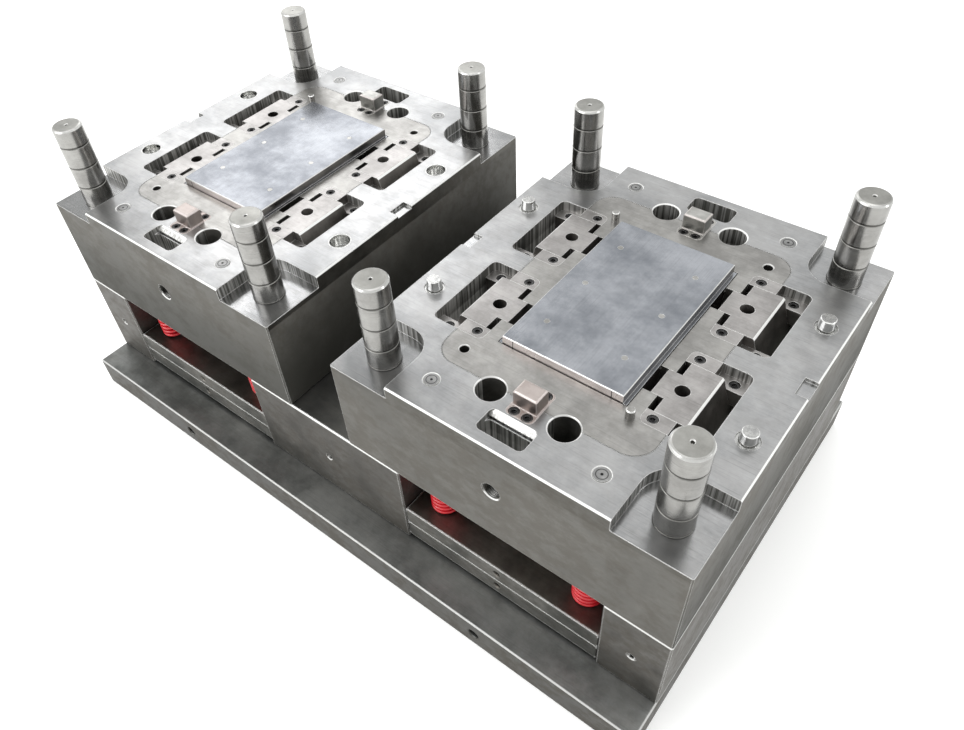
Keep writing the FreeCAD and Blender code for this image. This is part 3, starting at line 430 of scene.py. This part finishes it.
def insert_joint(skin, side):
    """1 on the line where the insert meets its plate: the distance to a rounded rectangle is how
    far the point lies past the corner circles' centres, less their radius."""
    low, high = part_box("core_insert_" + side)
    past = []
    for axis, start, end in (("X", low.x, high.x), ("Y", low.y, high.y)):
        offset = abs(skin.axis(axis) - (start + end) / 2) - ((end - start) / 2 - INSERT_CORNER)
        past.append(skin.maths("MAXIMUM", offset, 0.0))
    spread = skin.node("CombineXYZ", None, {"X": past[0], "Y": past[1]})
    gap = skin.node("VectorMath", {"operation": "LENGTH"}, {0: spread}, "Value") - INSERT_CORNER
    return 1 - skin.rise(abs(gap), JOINT_HALF, JOINT_HALF * 2)


# The thread's faces that look up are painted light and the rest near black: painted light and
# painted shade inside the lifting hole.
thread_lit_and_shaded_steel = Finish("thread_lit_and_shaded_steel", Metallic=0.9)
tone, rough, relief = machined(thread_lit_and_shaded_steel, top=((0.4, 0.4, 0.39, 1), (0.65, 0.65, 0.64, 1)),
                               side=((0.02, 0.02, 0.018, 1), (0.06, 0.06, 0.055, 1)), lump=0.006,
                               lay=(0.004, 0.0008, 0.004))
thread_lit_and_shaded_steel.finish(tone, rough, relief, 0.00003)

for side in SIDES:
    low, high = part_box("core_plate_" + side)
    core_steel = Finish("core_plate_steel_" + side, Metallic=0.95)
    tone, rough, relief = machined(
        core_steel, top=((0.25, 0.253, 0.258, 1), (0.42, 0.42, 0.425, 1)),
        side=((0.1, 0.096, 0.086, 1), (0.18, 0.175, 0.162, 1)), oily=0.35,
        lump=0.09, gloss=(0.24, 0.36), lay=(0.05, 0.001, 0.001))
    below = 1 - core_steel.beyond(core_steel.axis("Z"), FACE_Z)
    up = core_steel.upward()
    deep = 1 - core_steel.rise(core_steel.axis("Z"), DEEP_Z, DEEP_Z + 0.001)
    tone = core_steel.mix(deep * up * 0.5, tone, (0.24, 0.25, 0.235, 1))
    from_middle = abs(core_steel.axis("X") - (low.x + high.x) / 2)
    outside_x = core_steel.beyond(from_middle, (high.x - low.x) / 2)
    outside_y = core_steel.beyond(abs(core_steel.axis("Y")), high.y)
    inside = (1 - outside_x) * (1 - outside_y) * (1 - up)
    # Walls inside the plate are painted pale with upright light and dark stripes: a painted
    # reflection, as turned bores and pocket corners show, on walls that stand in shade.
    reflection_stripes = core_steel.rise(core_steel.cloud((0.0035, 0.0035, 0.3), 2.0), 0.42, 0.58)
    pale_walls = core_steel.mix(reflection_stripes, (0.2, 0.2, 0.19, 1), (0.75, 0.745, 0.73, 1))
    tone = core_steel.mix(inside * 0.75, tone, pale_walls)
    # The plate's outer end face is made darker towards the bottom.
    outer_end_darkening = core_steel.beyond(abs(core_steel.axis("X")), high.x)
    outer_end_darkening = outer_end_darkening * (1 - core_steel.rise(core_steel.axis("Z"), low.z + 0.02, high.z - 0.01))
    tone = core_steel.mix(outer_end_darkening * 0.75, tone, (0.04, 0.04, 0.034, 1))
    rough = rough - (below - deep) * up * 0.1 + deep * 0.15
    tone = core_steel.mix(insert_joint(core_steel, side) * up * 0.9, tone, JOINT_DARK)
    # Edges sunk inside the plate's outline get less of the painted highlight.
    sunken = below * (1 - outside_x) * (1 - outside_y)
    tone, rounded = edge_wear_and_painted_highlight(core_steel, tone, 0.0014, 0.9 - sunken * 0.6, dull=deep * 0.6)
    core_steel.finish(tone, rough, relief, 0.00006, rounded)
    dress(core_steel, "core_plate_" + side)
    holes = [m for m in frame["record"]["mounts"] if m["name"].startswith("lifting_hole_" + side)]
    threads = []
    for hole in holes:
        inward = -hole["axis"][1]
        length = hole["dims"]["length_mm"] / 1000 - 0.001
        mouth = (hole["pos_m"][0], hole["pos_m"][1] - inward * length / 2, hole["pos_m"][2])
        threads.append(thread_points(mouth, inward, hole["dims"]["r_mm"] / 1000, length))
    thread = woven("lifting_threads_" + side, threads, thread_lit_and_shaded_steel, ring=False)
    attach(thread, "base")

# ---------------------------------------------------------------- core inserts and blocks
# A hardened insert is let into each core plate, flush with its face, and carries the raised
# core block. The block is lapped until it is nearly bright, and its ends show the joints of
# the small pieces that it is built from.
END_PIECE = 0.0125
BLOCK_FOOT = 0.0038
# The left block is given darker tones than the right one, though both are the same lapped steel:
# painted shade against the stronger light the left one reflects.
LAPPED_TONES_LIT_AND_SHADED = {"left": ((0.1, 0.106, 0.12, 1), (0.24, 0.25, 0.27, 1)),
                "right": ((0.16, 0.17, 0.19, 1), (0.34, 0.352, 0.38, 1))}
for side in SIDES:
    insert_steel = Finish("insert_steel_" + side, Metallic=0.95)
    tone, rough, relief = machined(
        insert_steel, top=((0.22, 0.215, 0.208, 1), (0.39, 0.383, 0.372, 1)),
        side=((0.12, 0.117, 0.11, 1), (0.26, 0.255, 0.24, 1)), oily=0.3,
        lump=0.05, gloss=(0.26, 0.4))
    up = insert_steel.upward()
    tone = insert_steel.mix(insert_joint(insert_steel, side) * up * 0.9, tone, JOINT_DARK)
    tone, rounded = edge_wear_and_painted_highlight(insert_steel, tone, 0.0009, 0.6)
    insert_steel.finish(tone, rough, relief, 0.00006, rounded)
    dress(insert_steel, "core_insert_" + side)
    dress(pin_steel, "core_locators_" + side)

    low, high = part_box("core_block_" + side)
    middle_x = (low.x + high.x) / 2
    lapped_steel = Finish("lapped_steel_" + side, Metallic=1.0)
    tone, rough, relief = machined(lapped_steel, top=LAPPED_TONES_LIT_AND_SHADED[side],
                                   side=((0.2, 0.19, 0.185, 1), (0.42, 0.4, 0.39, 1)), oily=0.1,
                                   lump=0.08, gloss=(0.14, 0.24), side_gloss=(0.25, 0.36),
                                   lay=(0.0008, 0.06, 0.0008))
    # The block's end faces are painted near white: a painted highlight.
    end_face_highlight = lapped_steel.rise(abs(lapped_steel.axis("Y", "Normal")), 0.7, 0.9)
    tone = lapped_steel.mix(end_face_highlight * 0.85, tone, (0.92, 0.84, 0.82, 1))
    joint_x = (high.x - low.x) / 2 - BLOCK_FOOT - END_PIECE
    split = abs(abs(lapped_steel.axis("X") - middle_x) - joint_x)
    tone = lapped_steel.mix((1 - lapped_steel.rise(split, 0.0002, 0.0006)) * end_face_highlight, tone,
                            (0.02, 0.015, 0.015, 1))
    tone, rounded = edge_wear_and_painted_highlight(lapped_steel, tone, 0.0009, 0.7)
    lapped_steel.finish(tone, rough, relief, 0.00003, rounded)
    dress(lapped_steel, "core_block_" + side)

# ---------------------------------------------------------------- slides and gibs
# Eight slides run in T-shaped ways between pairs of gibs, on hard wear strips. All of them
# are hardened and ground on every face, with crisp edges that carry a painted highlight.
slide_steel = Finish("slide_steel", Metallic=0.95)
tone, rough, relief = machined(slide_steel, top=((0.25, 0.24, 0.235, 1), (0.42, 0.405, 0.4, 1)),
                               side=((0.13, 0.12, 0.112, 1), (0.28, 0.265, 0.25, 1)), oily=0.2,
                               lump=0.04, gloss=(0.3, 0.42))
tone, rounded = edge_wear_and_painted_highlight(slide_steel, tone, 0.0011, 0.9)
slide_steel.finish(tone, rough, relief, 0.00005, rounded)

strip_steel = Finish("wear_strip_steel", Metallic=0.8)
tone, rough, relief = machined(strip_steel, top=((0.22, 0.23, 0.215, 1), (0.4, 0.41, 0.39, 1)),
                               side=((0.2, 0.205, 0.195, 1), (0.36, 0.365, 0.35, 1)), oily=0.15,
                               lump=0.03, gloss=(0.45, 0.6), side_gloss=(0.4, 0.55))
tone, rounded = edge_wear_and_painted_highlight(strip_steel, tone, 0.0009, 0.8, dull=0.6)
strip_steel.finish(tone, rough, relief, 0.00005, rounded)

SOCKET_ROUND = 36
SCREW_HEAD = (0.0048, 0.006, 0.0028)
SCREW_INSETS = (0.0145, 0.0518)
OUTER_SEAT = 0.0184
SMALL_SEAT = 0.0064


def screw_points(centre):
    """Cap screw head turned about an upright line through the centre of its seat. The profile goes
    up the side, over a small chamfer and across the face to the socket. There the radius is
    divided by the cosine of the angle from the middle of the nearest flat: this is a hexagon."""
    radius, height, socket = SCREW_HEAD
    chamfer = radius * 0.09
    profile = np.array([
        (radius, 0, 0), (radius, height * 0.6, 0), (radius, height - chamfer, 0),
        (radius - chamfer, height, 0), (socket * 1.2, height, 0),
        (socket, height - chamfer * 0.6, 1), (socket, height * 0.5, 1),
        (socket * 0.4, height * 0.45, 0),
    ])
    angle = np.linspace(0, 2 * np.pi, SOCKET_ROUND, endpoint=False)
    sixth = (angle % (np.pi / 3)) - np.pi / 6
    hexagon = math.cos(math.pi / 6) / np.cos(sixth)
    reach = profile[:, :1] * (1 + profile[:, 2:] * (hexagon[None, :] - 1))
    z = centre[2] + profile[:, 1:2] + 0 * reach
    return np.stack([centre[0] + reach * np.cos(angle), centre[1] + reach * np.sin(angle), z], -1)


for side in SIDES:
    dress(slide_steel, "gibs_" + side)
    dress(strip_steel, "wear_plates_" + side)
    for place in ("front_outer", "front_inner", "back_outer", "back_inner"):
        dress(slide_steel, "slide_" + side + "_" + place)
    gib_low, gib_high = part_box("gibs_" + side)
    strip_low, strip_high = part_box("wear_plates_" + side)
    slide_low, slide_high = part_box("slide_" + side + "_back_outer")
    middle_x = (gib_low.x + gib_high.x) / 2
    slide_y = (slide_low.y + slide_high.y) / 2
    gib_y = (gib_high.y + strip_high.y) / 2 - slide_y
    heads = []
    for sx in (-1, 1):
        for sy in (-1, 1):
            for way in (-1, 1):
                y = sy * (slide_y + way * gib_y)
                for inset, seat in zip(SCREW_INSETS, (OUTER_SEAT, SMALL_SEAT)):
                    x = middle_x + sx * (gib_high.x - middle_x - inset)
                    heads.append(screw_points((x, y, gib_high.z - seat)))
    gib_screws = woven("gib_screws_" + side, heads, black_oxide)
    sharp_edges(gib_screws, 30)
    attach(gib_screws, "base")

# ---------------------------------------------------------------- wedge blocks
# A wedge block stands at each end of the core on a flush flange, held by four small screws.
# It is worn smooth, and the blocks in front are given a pinker grey than those behind.
FLANGE_INSET = 0.0215
WEDGE_SCREW_X = 0.0072
WEDGE_SCREW_Y = 0.0158
wedge_steel = Finish("wedge_steel", Metallic=0.9)
tone, rough, relief = machined(wedge_steel, top=((0.27, 0.268, 0.255, 1), (0.46, 0.455, 0.44, 1)),
                               side=((0.2, 0.2, 0.188, 1), (0.4, 0.395, 0.375, 1)), oily=0.12,
                               lump=0.025, side_gloss=(0.35, 0.5))
# The blocks in front are mixed halfway to a pinker grey.
tint = 1 - wedge_steel.rise(wedge_steel.axis("Y"), -0.01, 0.01)
tone = wedge_steel.mix(tint * 0.5, tone, (0.42, 0.33, 0.31, 1))
tone, rounded = edge_wear_and_painted_highlight(wedge_steel, tone, 0.0022, 0.5, (0.85, 0.78, 0.76, 1))
wedge_steel.finish(tone, rough, relief, 0.00008, rounded)
for side in SIDES:
    dress(wedge_steel, "wedge_blocks_" + side)
    low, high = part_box("wedge_blocks_" + side)
    middle_x = (low.x + high.x) / 2
    flange_y = high.y - FLANGE_INSET
    heads = []
    for sx in (-1, 1):
        for sy in (-1, 1):
            for way in (-1, 1):
                x = middle_x + sx * WEDGE_SCREW_X
                y = sy * (flange_y + way * WEDGE_SCREW_Y)
                heads.append(screw_points((x, y, FACE_Z - SMALL_SEAT)))
    wedge_screws = woven("wedge_screws_" + side, heads, black_oxide)
    sharp_edges(wedge_screws, 30)
    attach(wedge_screws, "base")

# ---------------------------------------------------------------- interlocks
# Tapered pegs in the right core plate and sockets in the left one line the halves up.
polished_steel = Finish("polished_peg_steel", Metallic=1.0)
tone, rough, relief = machined(polished_steel, top=((0.3, 0.3, 0.3, 1), (0.5, 0.5, 0.49, 1)),
                               side=((0.6, 0.6, 0.59, 1), (0.85, 0.85, 0.84, 1)), oily=0.05,
                               lump=0.01, gloss=(0.2, 0.3), side_gloss=(0.06, 0.12),
                               lay=(0.0015, 0.0015, 0.02))
tone, rounded = edge_wear_and_painted_highlight(polished_steel, tone, 0.0007, 0.7)
polished_steel.finish(tone, rough, relief, 0.00008, rounded)
dress(polished_steel, "interlock_pegs", "interlock_sockets")

# ---------------------------------------------------------------- guide pillars
# Guide pillars are turned, hardened and ground, with three oil grooves, an undercut at the
# foot, a chamfered end and the lathe's centre hole in the top.
GROOVE_LEVELS = (0.0105, 0.038, 0.0655)
GROOVE_HALF = 0.0008
GROOVE_DEPTH = 0.0007
HEAD_STEP = 0.003
HEAD_HEIGHT = 0.008
UNDERCUT = (0.0005, 0.002)
PILLAR_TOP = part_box("guide_pillars_left")[1].z
PILLAR_ROUND = 96


def pillar_profile(radius, low, foot, face, top):
    """Half outline of a pillar from the middle of its foot to the middle of its centre hole, as
    radius and height: the head, the shank, the undercut, the ground shaft with its grooves, the
    chamfer, and the end face."""
    deep, long = UNDERCUT
    outline = [(radius + HEAD_STEP, low), (radius + HEAD_STEP, low + HEAD_HEIGHT)]
    outline += [(radius, low + HEAD_HEIGHT), (radius, foot - long), (radius - deep, foot - long),
                (radius - deep, foot), (radius, foot)]
    for level in GROOVE_LEVELS:
        z = face + level
        outline += [(radius, z - GROOVE_HALF * 1.6), (radius - GROOVE_DEPTH, z - GROOVE_HALF),
                    (radius - GROOVE_DEPTH, z + GROOVE_HALF), (radius, z + GROOVE_HALF * 1.6)]
    outline += [(radius, top - 0.0025), (radius - 0.0012, top - 0.0008), (radius - 0.0026, top)]
    outline += [(0.0024, top), (0.0016, top - 0.0008), (0.0014, top - 0.004)]
    return np.array(outline)


def turned_points(centre, profile, steps):
    """A profile of radius and height turned about an upright line through the centre."""
    angle = np.linspace(0, 2 * np.pi, steps, endpoint=False)
    reach = profile[:, :1] + 0 * angle
    return np.stack([centre[0] + reach * np.cos(angle), centre[1] + reach * np.sin(angle),
                     profile[:, 1:2] + 0 * reach], -1)


pillar_steel = Finish("pillar_steel", Metallic=1.0)
tone, rough, relief = machined(pillar_steel, top=((0.22, 0.218, 0.205, 1), (0.36, 0.356, 0.34, 1)),
                               side=((0.25, 0.245, 0.235, 1), (0.42, 0.415, 0.4, 1)), oily=0.1,
                               lump=0.05, lay=(0.03, 0.03, 0.0006), gloss=(0.34, 0.46),
                               side_gloss=(0.18, 0.26))
# The oil grooves are painted dark: painted shade in the grooves.
groove_shade = 0
for level in GROOVE_LEVELS:
    groove_shade = groove_shade + (1 - pillar_steel.rise(abs(pillar_steel.axis("Z") - (FACE_Z + level)),
                                             GROOVE_HALF * 0.9, GROOVE_HALF * 1.5))
tone = pillar_steel.mix(groove_shade * 0.75, tone, (0.03, 0.028, 0.025, 1))
# The painted highlight on edges is kept to the top end of the pillar.
highlit_top = pillar_steel.rise(pillar_steel.axis("Z"), PILLAR_TOP - 0.006, PILLAR_TOP - 0.004)
tone, rounded = edge_wear_and_painted_highlight(pillar_steel, tone, 0.0008, highlit_top * 0.45)
pillar_steel.finish(tone, rough, relief, 0.00003, rounded)
for side in SIDES:
    low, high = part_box("guide_pillars_" + side)
    mounts = [m for m in frame["record"]["mounts"] if m["name"].startswith("pillar_" + side)]
    foot = mounts[0]["pos_m"][2] - mounts[0]["dims"]["length_mm"] / 2000
    profile = pillar_profile(mounts[0]["dims"]["r_mm"] / 1000, low.z, foot, FACE_Z, high.z)
    turned = [turned_points(m["pos_m"], profile, PILLAR_ROUND) for m in mounts]
    pillars = woven("grooved_pillars_" + side, turned, pillar_steel)
    sharp_edges(pillars, 25)
    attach(pillars, "base")
    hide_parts("guide_pillars_" + side)

# ---------------------------------------------------------------- floor, light and camera
# The mould half lies on a plain white floor, between broad soft lights on the left, behind,
# on the right and in front, and one overhead. The camera looks down from the front right.
FLOOR_HALF = 9.0
CAMERA_PLACE = Vector((0.5249, -0.5593, 0.8724))
CAMERA_TURN = (43.018, 3.108, 38.194)

floor_mesh = bpy.data.meshes.new("floor")
corners = [(x * FLOOR_HALF, y * FLOOR_HALF, 0) for x, y in ((-1, -1), (1, -1), (1, 1), (-1, 1))]
floor_mesh.from_pydata(corners, [], [(0, 1, 2, 3)])
floor = bpy.data.objects.new("floor", floor_mesh)
bpy.context.scene.collection.objects.link(floor)
paper = Finish("pale_floor", Metallic=0.0, Emission_Color=(1, 1, 1, 1),
               Emission_Strength=0.25)
paper_tone = paper.mix(paper.cloud((0.8, 0.8, 0.8)), (0.9, 0.9, 0.9, 1), (0.94, 0.94, 0.94, 1))
paper_rough = paper.cloud((0.3, 0.3, 0.3)) * 0.1 + 0.8
paper.finish(paper_tone, paper_rough, paper.cloud((0.02, 0.02, 0.02)), 0.0001)
floor_mesh.materials.append(paper.material)

world = bpy.data.worlds.new("workshop")
world.use_nodes = True
world.node_tree.nodes["Background"].inputs["Color"].default_value = (0.99, 1.0, 0.98, 1)
world.node_tree.nodes["Background"].inputs["Strength"].default_value = 0.85
bpy.context.scene.world = world


def softbox(name, place, aim, width, height, watts):
    """Area light at a place, turned to face its aim."""
    lamp = bpy.data.lights.new(name, "AREA")
    lamp.shape = "RECTANGLE"
    lamp.size = width
    lamp.size_y = height
    lamp.energy = watts
    box = bpy.data.objects.new(name, lamp)
    box.location = place
    box.rotation_euler = (Vector(aim) - Vector(place)).to_track_quat("-Z", "Y").to_euler()
    bpy.context.scene.collection.objects.link(box)


softbox("left_window", (-1.66, 1.1, 1.51), (-0.25, 0, 0.3), 1.3, 0.9, 11)
softbox("back_window", (-0.4, 2.0, 2.43), (0.25, 0, 0.3), 2.6, 2.0, 9)
softbox("right_window", (2.6, 0.9, 1.6), (0, 0, 0.3), 0.5, 1.4, 10)
softbox("ceiling", (0.3, -0.2, 2.8), (0, 0, 0), 2.0, 1.2, 18)
softbox("front_window", (-1.36, -2.19, 1.84), (0, 0, 0.3), 2.4, 1.2, 42)

bpy.context.scene.view_settings.view_transform = "Standard"
lens = bpy.data.cameras.new("camera")
lens.lens = 30.22
lens.sensor_width = 36.0
lens.shift_x = 0.0160
lens.shift_y = 0.0092
lens.clip_start = 0.01
camera = bpy.data.objects.new("camera", lens)
camera.location = CAMERA_PLACE
camera.rotation_euler = [math.radians(angle) for angle in CAMERA_TURN]
bpy.context.scene.collection.objects.link(camera)
bpy.context.scene.camera = camera
